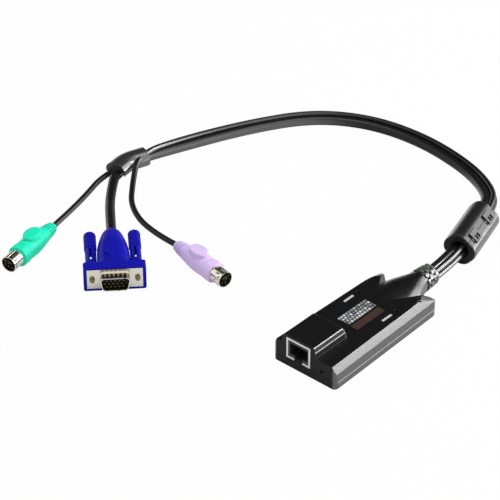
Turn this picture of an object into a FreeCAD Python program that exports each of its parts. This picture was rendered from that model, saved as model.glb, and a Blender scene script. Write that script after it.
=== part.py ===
import FreeCAD, Part
import math
import os
import re

# KVM adapter cable: a flat two-part housing with a network jack at one end, three cables
# leaving through a ribbed strain relief, a clip-on ferrite, a split sleeve, then one
# fifteen-pin video plug and two six-pin mini-DIN plugs.
# Frame: +Z up, +Y along the housing away from the jack, origin under the housing's middle.

doc = FreeCAD.newDocument("kvm_dongle")
sheet = doc.addObject("Spreadsheet::Sheet", "Dims")
ALIAS = []


def dims(rows):
    for alias, value in rows:
        row = len(ALIAS) + 1
        sheet.set("A%d" % row, alias)
        sheet.set("B%d" % row, repr(value) if not isinstance(value, str) else "=" + value)
        sheet.setAlias("B%d" % row, alias)
        ALIAS.append(alias)


SIZES = {
    # housing
    "case_width": 43.2, "rear_width": 38.8, "case_front": -48.6, "case_length": 89.0,
    "parting_height": 5.0, "case_top": 15.0, "case_wall": 2.2, "floor_thick": 1.8,
    "roof_thick": 1.8, "front_corner": 3.0, "rear_corner": 4.0, "side_foot": 5.4,
    "side_lean": 4.7, "shoulder_foot": 9.4, "shoulder_lean": 24.1, "seam_bevel": 0.35,
    "foot_bevel": 1.0, "cavity_end": 13.9, "cavity_margin": 4.5, "rear_bevel": 6.0,
    "rear_slope_angle": 46.0, "seam_slot_y": -14.6, "front_slot_x": 10.8, "front_slot_z": 8.0,
    "vent_length": 16.0, "vent_width": 1.2, "vent_pitch": 4.0, "vent_y": -29.1,
    "cover_screw_x": 15.4, "cover_screw_y": 28.9, "cover_screw_radius": 0.98,
    "cover_screw_head": 2.3,
    # neck and recess behind the housing
    "neck_height": 8.4, "neck_start": 5.4, "neck_end": 48.9, "neck_tip": 6.2,
    "recess_x": 7.8, "recess_y": 22.8, "recess_angle": 33.0, "recess_lean": 12.0,
    "duct_radius": 5.1,
    # jack
    "jack_center": -3.7, "jack_width": 16.3, "jack_bottom": 6.9, "jack_height": 12.8,
    "jack_depth": 21.4, "jack_gap": 0.15, "shield_wall": 0.3, "lip_width": 1.15,
    "lip_thick": 0.4, "latch_width": 5.6, "peg_spread": 5.7, "peg_back": 12.5,
    "peg_radius": 0.75, "plug_width": 11.9, "plug_height": 7.0, "plug_bottom": 9.6,
    "plug_reach": 14.0, "contact_pitch": 1.02, "contact_width": 0.44,
    # raised block over the jack
    "block_half_top": 10.2, "block_half_step": 11.2, "block_half_base": 12.0,
    "block_top": 21.0, "block_step": 18.3, "block_length": 24.0, "block_slope": 1.6,
    "block_edge": 0.9,
    # board
    "board_bottom": 5.7, "board_thick": 1.2, "board_side_gap": 0.1, "board_length": 59.0,
    "board_start": -46.1, "pad_width": 3.0, "pad_length": 4.0,
    # windows
    "window_x": 13.15, "window_y": 11.8, "window_radius": 1.15, "window_gap": 0.05,
    # strain relief
    "relief_core": 4.9, "relief_ring": 6.9, "relief_end": 58.9, "flange_radius": 5.8,
    "ring_width": 1.65, "ring_pitch": 2.45,
    # cables
    "video_cable_dia": 5.8, "small_cable_dia": 3.4, "cable_gap": 0.3,
    # ferrite
    "ferrite_start": 6.7, "ferrite_mid": 9.7, "ferrite_half": 8.1,
    "ferrite_tall": 9.4, "ferrite_corner": 6.5, "core_radius": 6.8, "ferrite_length": 38.0,
    "ferrite_bore": 5.35, "ferrite_wall": 1.2, "ferrite_end": 1.6, "core_gap": 0.05,
    "split_gap": 0.3, "split_slant": -50.0, "hinge_x": -8.65, "hinge_radius": 0.45,
    "latch_first": 5.0, "latch_second": 25.0,
    # split sleeve
    "sleeve_half_width": 6.7, "sleeve_half_height": 5.25, "sleeve_mid": 5.35,
    "waist_at": 8.2, "waist_width": 1.6, "waist_radius": 6.15,
    # video plug
    "collar_width": 34.6, "collar_height": 14.8, "collar_depth": 6.5,
    "flange_width": 30.8, "flange_height": 12.5, "flange_thick": 0.9,
    "screw_spacing": 25.0, "screw_radius": 1.42, "knob_radius": 3.55, "stem_radius": 3.2,
    "stem_start": 7.0, "knob_start": 28.4, "knob_end": 41.6, "knob_room": 0.25,
    "shell_reach": 5.9, "shell_width": 16.9, "shell_height": 8.4, "shell_taper": 1.45,
    "plug_mid": 7.4, "hood_end": 44.2, "plug_turn": 46.6,
    # mini-DIN plugs
    "din_mid": 6.3, "din_radius": 4.75, "din_wall": 0.35, "din_reach": 8.6,
    "din_hood": 34.3, "din_collar": 6.25, "boot_start": 28.3, "boot_tip": 2.9,
    "pad_at": 14.5, "pad_half": 4.4, "pad_half_long": 6.4, "pad_rise": 8.0,
}
dims(list(SIZES.items()))
dims([("board_width", "case_width-2*cavity_margin-2*board_side_gap")])
doc.recompute()
VALUE = {a: float(sheet.get(a)) for a in ALIAS}


def bind(obj, prop, expr):
    if isinstance(expr, (int, float)):
        expr = repr(float(expr))
    text = re.sub(r"\b([a-z_]+[a-z])\b",
                  lambda m: "Dims." + m.group(1) if m.group(1) in VALUE else m.group(1), expr)
    obj.setExpression(prop, text)


COUNT = [0]


def made(kind, tag):
    COUNT[0] += 1
    return doc.addObject(kind, "%s_%d" % (tag, COUNT[0]))


def put(obj, x, y, z):
    bind(obj, "Placement.Base.x", x)
    bind(obj, "Placement.Base.y", y)
    bind(obj, "Placement.Base.z", z)
    return obj


def turned(obj, axis, angle):
    obj.Placement = FreeCAD.Placement(obj.Placement.Base,
                                      FreeCAD.Rotation(FreeCAD.Vector(*axis), angle))
    return obj


def box(lx, ly, lz, x, y, z):
    b = made("Part::Box", "box")
    bind(b, "Length", lx)
    bind(b, "Width", ly)
    bind(b, "Height", lz)
    return put(b, x, y, z)


def rod(r, h, x, y, z, axis="z"):
    c = made("Part::Cylinder", "rod")
    bind(c, "Radius", r)
    bind(c, "Height", h)
    if axis == "y":
        turned(c, (1, 0, 0), -90)
    if axis == "x":
        turned(c, (0, 1, 0), 90)
    return put(c, x, y, z)


def cone(r1, r2, h, x, y, z, axis="y"):
    c = made("Part::Cone", "cone")
    bind(c, "Radius1", r1)
    bind(c, "Radius2", r2)
    bind(c, "Height", h)
    if axis == "y":
        turned(c, (1, 0, 0), -90)
    return put(c, x, y, z)


def fuse(*parts):
    f = made("Part::MultiFuse", "fuse")
    f.Shapes = list(parts)
    return f


def group(*parts):
    c = made("Part::Compound", "group")
    c.Links = list(parts)
    return c


def cut(base, *tools):
    c = made("Part::Cut", "cut")
    c.Base = base
    c.Tool = tools[0] if len(tools) == 1 else fuse(*tools)
    return c


def common(a, b):
    c = made("Part::MultiCommon", "common")
    c.Shapes = [a, b]
    return c


def edges_where(obj, test):
    doc.recompute()
    found = []
    for i, e in enumerate(obj.Shape.Edges):
        if test(e):
            found.append(i + 1)
    return found


def rounded(base, test, radius):
    f = made("Part::Fillet", "fillet")
    f.Base = base
    f.Edges = [(i, radius, radius) for i in edges_where(base, test)]
    return f


def bevelled(base, test, a, b=None):
    f = made("Part::Chamfer", "chamfer")
    f.Base = base
    f.Edges = [(i, a, a if b is None else b) for i in edges_where(base, test)]
    return f


def upright(e):
    a, b = e.Vertexes[0].Point, e.Vertexes[-1].Point
    return abs(a.x - b.x) < 1e-6 and abs(a.y - b.y) < 1e-6 and abs(a.z - b.z) > 1e-3


def lying_at(z):
    return lambda e: all(abs(v.Point.z - z) < 1e-6 for v in e.Vertexes) and \
        abs(e.BoundBox.ZMax - e.BoundBox.ZMin) < 1e-6


PARTS = {}


def part(node, obj, label=None):
    obj.Label = node
    PARTS[node] = obj
    return obj


V = VALUE

# ---------------------------------------------------------------- housing outlines
# One tapering plan for both covers; the upper one is planed twice along each side, steep
# below the shoulder line and flatter above it.
WIDE = 200.0
REAR = V["case_front"] + V["case_length"]
TAPER = math.degrees(math.atan((V["case_width"] - V["rear_width"]) / 2 / V["case_length"]))


def mirrored(obj):
    m = made("Part::Mirroring", "mirror")
    m.Source = obj
    m.Normal = (1, 0, 0)
    return m


def tapered(height, z):
    w = made("Part::Wedge", "plan")
    for prop, expr in (("Xmin", "-case_width/2"), ("Xmax", "case_width/2"),
                       ("X2min", "-rear_width/2"), ("X2max", "rear_width/2"),
                       ("Ymin", "0"), ("Ymax", "case_length"), ("Zmin", "0"), ("Zmax", height),
                       ("Z2min", "0"), ("Z2max", height)):
        bind(w, prop, expr)
    put(w, 0, "case_front", z)
    front = rounded(w, lambda e: upright(e) and e.Vertexes[0].Point.y < V["case_front"] + 0.01,
                    V["front_corner"])
    return rounded(front, lambda e: upright(e) and e.Vertexes[0].Point.y > REAR - 0.01,
                   V["rear_corner"])


def side_plane(foot, lean):
    # everything outside a plane that leans inwards over the right side
    b = made("Part::Box", "plane")
    b.Length, b.Width, b.Height = WIDE, 3 * WIDE, WIDE
    turn = FreeCAD.Rotation(FreeCAD.Vector(0, 0, 1), TAPER).multiply(
        FreeCAD.Rotation(FreeCAD.Vector(0, 1, 0), -V[lean]))
    b.Placement = FreeCAD.Placement(
        FreeCAD.Vector(V["case_width"] / 2, V["case_front"], V[foot]), turn).multiply(
        FreeCAD.Placement(FreeCAD.Vector(0, -WIDE, -V[foot] / 2), FreeCAD.Rotation()))
    return b


lower_block = bevelled(tapered("parting_height", "0"), lying_at(0.0), V["foot_bevel"])
lower_block = bevelled(lower_block, lying_at(V["parting_height"]), V["seam_bevel"])
upper_block = bevelled(tapered("case_top-parting_height", "parting_height"),
                       lying_at(V["parting_height"]), V["seam_bevel"])
planes = [side_plane("side_foot", "side_lean"), side_plane("shoulder_foot", "shoulder_lean")]
lean = cut(upper_block, *(planes + [mirrored(b) for b in planes]))


def oval(a, b, y, z):
    e = made("Part::Ellipse", "oval")
    e.MajorRadius = max(a, b) + 1e-4
    e.MinorRadius = min(a, b)
    rot = FreeCAD.Rotation(FreeCAD.Vector(1, 0, 0), -90)
    if b > a:
        rot = rot.multiply(FreeCAD.Rotation(FreeCAD.Vector(0, 0, 1), 90))
    e.Placement = FreeCAD.Placement(FreeCAD.Vector(0, y, z), rot)
    return e


def loft(rows, z):
    lf = made("Part::Loft", "loft")
    lf.Sections = [oval(a, b, y, z) for y, a, b in rows]
    lf.Solid = True
    lf.Ruled = False
    return lf


def neck():
    # wide where it leaves the body, round where the strain relief comes out
    return loft([(V["neck_start"], 12.6, 6.65), (15.4, 13.4, 6.9), (26.0, 13.6, 7.4),
                 (34.0, 12.2, 7.5), (40.0, 9.8, 7.1), (45.0, 7.6, 6.6),
                 (V["neck_end"], V["neck_tip"], V["neck_tip"] + 0.01)], V["neck_height"])


def recess(side):
    # the swept, leaning wall between a shoulder and the neck
    slab = made("Part::Box", "slab")
    slab.Length, slab.Width, slab.Height = WIDE, 2 * WIDE, WIDE
    turn = FreeCAD.Rotation(FreeCAD.Vector(0, 0, 1), -V["recess_angle"]).multiply(
        FreeCAD.Rotation(FreeCAD.Vector(0, 1, 0), V["recess_lean"]))
    slab.Placement = FreeCAD.Placement(
        FreeCAD.Vector(V["recess_x"], V["recess_y"], V["case_top"]), turn).multiply(
        FreeCAD.Placement(FreeCAD.Vector(-WIDE, -WIDE / 2, -WIDE / 2), FreeCAD.Rotation()))
    right = common(slab, box(WIDE, 2 * WIDE, WIDE, 0, -WIDE / 2, -WIDE / 2))
    if side > 0:
        return right
    return mirrored(right)


def rear_slope():
    b = made("Part::Box", "slope")
    b.Length, b.Width, b.Height = WIDE, WIDE, WIDE
    b.Placement = FreeCAD.Placement(
        FreeCAD.Vector(-WIDE / 2, REAR - V["rear_bevel"], V["case_top"]),
        FreeCAD.Rotation(FreeCAD.Vector(1, 0, 0), -V["rear_slope_angle"])).multiply(
        FreeCAD.Placement(FreeCAD.Vector(0, -WIDE / 20, 0), FreeCAD.Rotation()))
    return b


def half_space(upper):
    # everything above, or below, the parting plane
    if upper:
        return box(WIDE, 2 * WIDE, WIDE, -WIDE / 2, -WIDE, "parting_height")
    return box(WIDE, 2 * WIDE, "parting_height*2", -WIDE / 2, -WIDE, "-parting_height")


def block_tier(foot, top, half_foot, half_top, run_foot, run_top):
    w = made("Part::Wedge", "block")
    for prop, expr in (("Xmin", "-" + half_foot), ("Xmax", half_foot), ("X2min", "-" + half_top),
                       ("X2max", half_top), ("Ymin", 0), ("Ymax", "%s-(%s)" % (top, foot)),
                       ("Zmin", "-block_length-" + run_foot), ("Zmax", 0),
                       ("Z2min", "-block_length-" + run_top), ("Z2max", 0)):
        bind(w, prop, expr)
    turned(w, (1, 0, 0), 90)
    return put(w, "jack_center", "case_front", foot)


def jack_block():
    # two tiers: nearly upright sides below, sides that draw in above
    low = block_tier("case_top-1", "block_step", "block_half_base", "block_half_step",
                     "block_slope", "block_slope*0.6")
    high = block_tier("block_step", "block_top", "block_half_step", "block_half_top",
                      "block_slope*0.6", "0")
    high = rounded(high, lambda e: e.BoundBox.YMin > V["case_front"] - 0.01
                   and e.BoundBox.ZMax > V["block_top"] - 0.01
                   and e.BoundBox.YMax > V["case_front"] + 1, V["block_edge"])
    return fuse(low, high)


def duct():
    return rod("duct_radius", "neck_end-cavity_end+2", "0", "cavity_end-1", "neck_height", "y")


def flange_seat():
    # ring groove that traps the inner flange of the strain relief
    return rod("flange_radius+0.1", 2.4, "0", "neck_end-7.2", "neck_height", "y")


def screw_at(make):
    # the same feature at both cover screws
    return [make(side + "cover_screw_x") for side in ("-", "")]


# ---------------------------------------------------------------- upper cover
shell_upper = fuse(common(fuse(cut(lean, recess(1), recess(-1), rear_slope()), neck()),
                          half_space(True)), jack_block())
room = box("case_width-2*cavity_margin", "cavity_end-case_front-case_wall",
           "case_top-roof_thick", "-case_width/2+cavity_margin",
           "case_front+case_wall", "0")
jack_room = box("jack_width+2*jack_gap", "jack_depth+2.5", "jack_height+2*jack_gap",
                "jack_center-jack_width/2-jack_gap", "case_front-1", "jack_bottom-jack_gap")
side_slot = box(1.6, 4.2, 1.0, "case_width/2-1.2", "seam_slot_y", "parting_height-0.1")
front_slot = box(2.6, 1.4, 1.5, "front_slot_x", "case_front-0.5", "front_slot_z")
windows = [rod("window_radius+window_gap", 6, s + "window_x", "window_y", "case_top-4")
           for s in ("-", "")]
boss_holes = screw_at(lambda x: rod("cover_screw_radius+0.02", "case_top-roof_thick-2", x,
                                    "cover_screw_y", "parting_height-0.5"))
upper = cut(shell_upper, room, jack_room, duct(), flange_seat(), side_slot, front_slot,
            *(windows + boss_holes))
part("upper_cover", upper)

# ---------------------------------------------------------------- lower cover
shell_lower = common(fuse(cut(lower_block, recess(1), recess(-1)), neck()), half_space(False))
tray = box("case_width-2*cavity_margin", "cavity_end-case_front-case_wall", 10,
           "-case_width/2+cavity_margin", "case_front+case_wall", "floor_thick")
screw_seats = screw_at(lambda x: rod("cover_screw_radius+0.37", "parting_height+2", x,
                                     "cover_screw_y", -1))
screw_seats += screw_at(lambda x: rod("cover_screw_head+0.3", 3.0, x, "cover_screw_y", -1))
vents = [box("vent_length", "vent_width", "floor_thick+2", "-vent_length/2",
             "vent_y+%d*vent_pitch" % k, -1) for k in range(3)]
lower_open = cut(shell_lower, tray, duct(), flange_seat(), *(screw_seats + vents))
pads = [box("pad_width", "pad_length", "board_bottom-floor_thick+0.2", x, y, "floor_thick-0.2")
        for x in ("-board_width/2", "board_width/2-pad_width")
        for y in ("board_start+0.5", "board_start+board_length-pad_length-0.5")]
part("lower_cover", fuse(lower_open, *pads))

# ---------------------------------------------------------------- cover screws
shanks = screw_at(lambda x: rod("cover_screw_radius", 8.2, x, "cover_screw_y", 2.0))
heads = screw_at(lambda x: cut(rod("cover_screw_head", 1.4, x, "cover_screw_y", 0.6),
                               box(0.5, 3.2, 0.8, x + "-0.25", "cover_screw_y-1.6", 0.2),
                               box(3.2, 0.5, 0.8, x + "-1.6", "cover_screw_y-0.25", 0.2)))
part("cover_screws", group(*[fuse(a, b) for a, b in zip(shanks, heads)]))

# ---------------------------------------------------------------- circuit board
board = box("board_width", "board_length", "board_thick", "-board_width/2", "board_start",
            "board_bottom")
peg_holes = [rod("peg_radius+0.05", "board_thick+3", "jack_center%speg_spread" % s,
                 "case_front+peg_back", "board_bottom-1.5") for s in "-+"]
part("circuit_board", cut(board, *peg_holes))

# ---------------------------------------------------------------- network jack
sleeve_out = box("jack_width", "jack_depth", "jack_height", "jack_center-jack_width/2",
                 "case_front-0.3", "jack_bottom")
sleeve_in = box("jack_width-2*shield_wall", "jack_depth-shield_wall", "jack_height-2*shield_wall",
                "jack_center-jack_width/2+shield_wall", "case_front-0.3+lip_thick",
                "jack_bottom+shield_wall")
mouth = box("jack_width-2*lip_width", 3, "jack_height-2*lip_width",
            "jack_center-jack_width/2+lip_width", "case_front-2", "jack_bottom+lip_width")
latch_gate = box("latch_width", 3, 4, "jack_center-latch_width/2", "case_front-2",
                 "jack_bottom-1")
pins = [rod("peg_radius", 2.6, "jack_center%speg_spread" % s, "case_front+peg_back",
            "jack_bottom-2.5") for s in "-+"]
shield = fuse(cut(sleeve_out, sleeve_in, mouth, latch_gate), *pins)
part("jack_shield", shield)

insert_body = box("jack_width-2*shield_wall-0.1", "jack_depth-shield_wall-lip_thick-0.1",
                  "jack_height-2*shield_wall-0.1", "jack_center-jack_width/2+shield_wall+0.05",
                  "case_front-0.3+lip_thick+0.05", "jack_bottom+shield_wall+0.05")
plug_room = box("plug_width", "plug_reach+1", "plug_height", "jack_center-plug_width/2",
                "case_front-1", "plug_bottom")
latch_room = box("latch_width-0.4", 9, 2.4, "jack_center-latch_width/2+0.2", "case_front-1",
                 "plug_bottom-2.0")
comb_room = box("contact_pitch*9", 9.5, 2.2, "jack_center-contact_pitch*4.5", "case_front+4.0",
                "plug_bottom+plug_height-0.2")
part("jack_insert", cut(insert_body, plug_room, latch_room, comb_room))

wires = []
for i in range(8):
    x = "jack_center+%.1f*contact_pitch-contact_width/2" % (i - 3.5)
    slope = made("Part::Box", "wire")
    bind(slope, "Length", "contact_width")
    bind(slope, "Width", 8.6)
    bind(slope, "Height", 0.3)
    turned(slope, (1, 0, 0), 17)
    put(slope, x, "case_front+4.6", "plug_bottom+plug_height-1.1")
    wires.append(slope)
part("jack_contacts", group(*wires))

# ---------------------------------------------------------------- board parts
top = "board_bottom+board_thick"
pins_l = [box(1.1, 0.45, 0.35, x, "board_start+%.2f" % (28.4 + 1.27 * k), top)
          for x in (-5.7, 5.4 - 0.8) for k in range(9)]
part("controller_chip", fuse(rounded(box(9.4, 12.4, 1.9, -4.7, "board_start+27.6", top),
                                     lambda e: upright(e), 0.4), *pins_l))
pins_m = [box(0.9, 0.42, 0.3, x, "board_start+%.2f" % (43.8 + 1.27 * k), top)
          for x in ("board_width/2-8.8", "board_width/2-3.1") for k in range(4)]
part("memory_chip", fuse(box(5.0, 5.2, 1.6, "board_width/2-7.95", "board_start+43.4",
                             top), *pins_m))
can = rounded(box(4.6, 10.6, 3.4, "1.4-board_width/2", "board_start+32.5", top),
              lambda e: upright(e), 2.2)
part("crystal", can)
caps = []
for x, y, r, h in (("3.4-board_width/2", 46.0, 2.0, 5.0), ("board_width/2-4.6", 32.5, 2.0, 5.0),
                   ("board_width/2-4", 25.0, 1.6, 4.4)):
    caps.append(rod(r, h, x, "board_start+%.1f" % y, top))
part("capacitors", group(*caps))
part("board_chips", group(*[box(1.6, 0.8, 0.6, x, "board_start+%.1f" % y, top) for x, y in
                            ((-1.0, 44.5), (2.4, 44.5), (-8.0, 42.5), (6.6, 39.5), (-8.6, 37.5),
                             (8.0, 23.5), (-2.4, 24.1), (2.0, 24.1))]))
for node, side in (("signal_led_left", "-"), ("signal_led_right", "")):
    part(node, box(1.6, 1.0, 0.8, side + "window_x-0.8", "window_y-0.5", top))
for node, side in (("window_left", "-"), ("window_right", "")):
    stem = rod("window_radius", "case_top-board_bottom-board_thick-1.2", side + "window_x",
               "window_y", top + "+1.0")
    lip = rod("window_radius+0.5", 0.8, side + "window_x", "window_y",
              "case_top-roof_thick-0.8")
    part(node, fuse(stem, lip))
header = cut(box(12.6, 4.6, 4.2, -6.3, "board_start+board_length-5.1", top),
             box(11.4, 2.4, 3.6, -5.7, "board_start+board_length-4.5", top + "+0.9"))
part("cable_header", header)
leads = []
for i in range(6):
    x = -3.5 + i * 1.4
    up = rod(0.55, "neck_end-8-board_start-board_length", x, "board_start+board_length-0.5",
             "neck_height+0.6", "y")
    leads.append(up)
part("cable_leads", group(*leads))

# ---------------------------------------------------------------- strain relief
core = rod("relief_core", "relief_end-neck_end+7.5", "0", "neck_end-7.5", "neck_height", "y")
inner = rod("flange_radius", 2.2, "0", "neck_end-7.1", "neck_height", "y")
rings = []
for k in range(4):
    y = V["neck_end"] + 0.35 + k * V["ring_pitch"]
    ring = rod("relief_ring-%.2f" % (0.16 * k), "ring_width", "0", y, "neck_height", "y")
    teeth = []
    for j in range(10):
        a = math.radians(j * 36 + (18 if k % 2 else 0))
        gap = made("Part::Box", "gap")
        gap.Length, gap.Width, gap.Height = 2.5, 3.0, 1.4
        gap.Placement = FreeCAD.Placement(
            FreeCAD.Vector(5.2 * math.cos(a), y - 0.7, V["neck_height"] + 5.2 * math.sin(a)),
            FreeCAD.Rotation(FreeCAD.Vector(0, 1, 0), -math.degrees(a)),
            FreeCAD.Vector(0, 0, -0.0))
        gap.Placement = gap.Placement.multiply(
            FreeCAD.Placement(FreeCAD.Vector(0, 0, -0.7), FreeCAD.Rotation()))
        teeth.append(gap)
    rings.append(cut(ring, *teeth))
part("cable_grommet", fuse(core, inner, *rings))

# ---------------------------------------------------------------- cables
# Straight runs joined by tangent arcs. The three cables run side by side as one bundle as
# far as the split sleeve, then part towards the three plugs.
BUNDLE = [(0.0, V["relief_end"] + V["cable_gap"], 5.0), (0.9, 79.3, 6.8), (-14.5, 132.2, 6.8),
          (-27.2, 147.1, 4.6), (-53.6, 161.8, 1.4), (-91.9, 169.6, 0.1), (-128.8, 165.0, 0.1),
          (-159.2, 146.5, 0.1), (-179.7, 113.3, 0.1), (-196.6, 72.6, 0.1)]
# where the plugs lie: front middle of the video plug, rear ends and headings of the others
VIDEO_FRONT = (-127.75, -58.6)
MOUSE_REAR, MOUSE_DIR = (-190.2, -44.8), (0.185, -0.983)
KEYS_REAR, KEYS_DIR = (-125.0, -11.5), (0.988, -0.155)


def behind(rear, heading):
    # a cable stops just short of the hood it belongs to
    m = math.hypot(*heading)
    return (rear[0] - heading[0] / m * V["cable_gap"], rear[1] - heading[1] / m * V["cable_gap"],
            V["din_mid"])


def behind_video():
    a, reach = math.radians(V["plug_turn"]), V["hood_end"] + V["cable_gap"]
    return (VIDEO_FRONT[0] - reach * math.sin(a), VIDEO_FRONT[1] + reach * math.cos(a),
            V["plug_mid"])


def side_by_side(lateral, height):
    out = []
    n = len(BUNDLE)
    for i, (x, y, lift) in enumerate(BUNDLE):
        def unit(a, b):
            dx, dy = b[0] - a[0], b[1] - a[1]
            m = math.hypot(dx, dy)
            return -dy / m, dx / m
        if i == 0:
            nx, ny = -1.0, 0.0
            k = 1.0
        elif i == n - 1:
            nx, ny = unit(BUNDLE[i - 1], BUNDLE[i])
            k = 1.0
        else:
            a, b = unit(BUNDLE[i - 1], BUNDLE[i]), unit(BUNDLE[i], BUNDLE[i + 1])
            nx, ny = a[0] + b[0], a[1] + b[1]
            m = math.hypot(nx, ny)
            nx, ny = nx / m, ny / m
            k = 1.0 / (nx * a[0] + ny * a[1])
        out.append((x + nx * lateral * k, y + ny * lateral * k, lift + height))
    return out


ROUTES = {
    "video_cable": side_by_side(1.9, 2.95) + [(-207.9, 21.4, 3.1), behind_video()],
    "mouse_cable": side_by_side(-3.0, 1.75) + [(-212.9, 22.7, 1.85), (-200.2, -13.4, 2.2),
                                               behind(MOUSE_REAR, MOUSE_DIR)],
    "keyboard_cable": side_by_side(-2.2, 5.2)[:-1] + [
        (-198.4, 71.8, 6.4), (-203.7, 39.5, 8.9), (-190.2, 19.5, 3.0), (-174.8, 6.9, 1.8),
        (-152.0, -1.9, 1.9), behind(KEYS_REAR, KEYS_DIR)],
}


def vec(p):
    return FreeCAD.Vector(*p)


def rounded_route(name, points, least):
    edges = []
    last = vec(points[0])
    radii = []
    for i in range(1, len(points) - 1):
        a, b, c = vec(points[i - 1]), vec(points[i]), vec(points[i + 1])
        u, w = (b - a), (c - b)
        t = 0.45 * min(u.Length, w.Length)
        u.normalize()
        w.normalize()
        turn = u.getAngle(w)
        radius = t / math.tan(turn / 2)
        radii.append(radius)
        p, q = b - u * t, b + w * t
        bis = (w - u)
        bis.normalize()
        mid = b + bis * (radius / math.cos(turn / 2) - radius)
        edges.append(Part.LineSegment(last, p).toShape())
        edges.append(Part.Arc(p, mid, q).toShape())
        last = q
    edges.append(Part.LineSegment(last, vec(points[-1])).toShape())
    print(name, "least bend radius %.1f (wanted %.1f)" % (min(radii), least),
          "length %.1f" % sum(e.Length for e in edges))
    return Part.Wire(edges)


def tube(name, points, dia):
    wire = rounded_route(name, points, 5 * dia)
    start, nxt = vec(points[0]), vec(points[1])
    ring = Part.Wire([Part.Circle(start, nxt - start, dia / 2).toShape()])
    shell = Part.BRepOffsetAPI.MakePipeShell(wire)
    shell.setFrenetMode(False)
    shell.add(ring)
    shell.build()
    shell.makeSolid()
    solid = shell.shape()
    wanted = math.pi * dia * dia / 4 * wire.Length
    print(name, "volume %.0f against %.0f" % (solid.Volume, wanted))
    obj = made("Part::Feature", "tube")
    obj.Shape = solid
    return obj


DIA = {"video_cable": V["video_cable_dia"], "mouse_cable": V["small_cable_dia"],
       "keyboard_cable": V["small_cable_dia"]}
for name, points in ROUTES.items():
    part(name, tube(name, points, DIA[name]))

# ---------------------------------------------------------------- clip-on ferrite
FX0, FY0 = BUNDLE[1][0], BUNDLE[1][1]
FDX, FDY = BUNDLE[2][0] - FX0, BUNDLE[2][1] - FY0
FL = math.hypot(FDX, FDY)
FHEAD = math.degrees(math.atan2(-FDX, FDY))
FERRITE_AT = FreeCAD.Placement(
    FreeCAD.Vector(FX0 + FDX / FL * V["ferrite_start"], FY0 + FDY / FL * V["ferrite_start"],
                   V["ferrite_mid"]),
    FreeCAD.Rotation(FreeCAD.Vector(0, 0, 1), FHEAD))
SPLIT_TURN = FreeCAD.Placement(FreeCAD.Vector(),
                               FreeCAD.Rotation(FreeCAD.Vector(0, 1, 0), V["split_slant"]))
FERRITE_AT = FERRITE_AT.multiply(SPLIT_TURN)


def placed(obj, at):
    # a one-member compound carries the slant, so the inner sizes stay bound to the sheet
    g = made("Part::Compound", "set")
    g.Links = [obj]
    g.Placement = at
    return g


# In the ferrite's own frame the split is the plane z = 0, the latch is at +x, the hinge at -x.
def ferrite_half(sign):
    keep = box(30, "ferrite_length+4", 15, -15, -2,
               "split_gap/2" if sign > 0 else "-15-split_gap/2")
    block = box("2*ferrite_half", "ferrite_length", "2*ferrite_tall", "-ferrite_half", 0,
                "-ferrite_tall")
    long_edges = rounded(block, lambda e: e.BoundBox.YMax - e.BoundBox.YMin > 9,
                         V["ferrite_corner"])
    body = rounded(long_edges, lambda e: e.BoundBox.YMax - e.BoundBox.YMin < 0.01, 1.0)
    hollow = rod("core_radius", "ferrite_length-2*ferrite_end", 0, "ferrite_end", 0, "y")
    hole = rod("ferrite_bore", "ferrite_length+4", 0, -2, 0, "y")
    return body, hollow, hole, keep


LATCHES = (V["latch_first"], V["latch_second"])
b, h, o, k = ferrite_half(1)
top_half = common(cut(b, h, o), k)
tabs = []
for y in LATCHES:
    frame = cut(box(1.0, 7.6, 6.4, "ferrite_half+0.12", y, -3.6),
                box(3, 4.6, 2.6, "ferrite_half-1", y + 1.5, -2.8))
    root = box("ferrite_wall+1.02", 7.6, 2.2, "ferrite_half-ferrite_wall+0.1", y, 0.6)
    tabs += [frame, root]
part("ferrite_case_upper", placed(fuse(top_half, *tabs), FERRITE_AT))
b, h, o, k = ferrite_half(-1)
low_half = common(cut(b, h, o), k)
pockets = [box(2.4, 8.6, 4.0, "ferrite_half-0.9", y - 0.5, -4.2) for y in LATCHES]
pins_f = [box(0.5, 3.6, 1.2, "ferrite_half-0.95", y + 2.0, -2.4) for y in LATCHES]
# the bead that the web of the hinge folds about, and its foot on the lower half
bead = rod("hinge_radius", "ferrite_length-14", "hinge_x", 7, 0, "y")
foot = box(1.0, "ferrite_length-14", 1.4, "hinge_x+0.1", 7, -1.5)
part("ferrite_case_lower", placed(fuse(cut(low_half, *pockets), *(pins_f + [bead, foot])),
                                  FERRITE_AT))
for node, sign in (("ferrite_core_upper", 1), ("ferrite_core_lower", -1)):
    ring = cut(rod("core_radius-core_gap", "ferrite_length-2*ferrite_end-0.2", 0,
                   "ferrite_end+0.1", 0, "y"),
               rod("ferrite_bore", "ferrite_length", 0, 0, 0, "y"))
    keep = box(30, "ferrite_length+4", 15, -15, -2,
               "split_gap/2" if sign > 0 else "-15-split_gap/2")
    core_half = common(ring, keep)
    part(node, placed(core_half, FERRITE_AT))

# ---------------------------------------------------------------- split sleeve
SLEEVE = [(-202.6, 44.5), (-206.8, 32.5), (-204.8, 21.5)]


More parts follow.
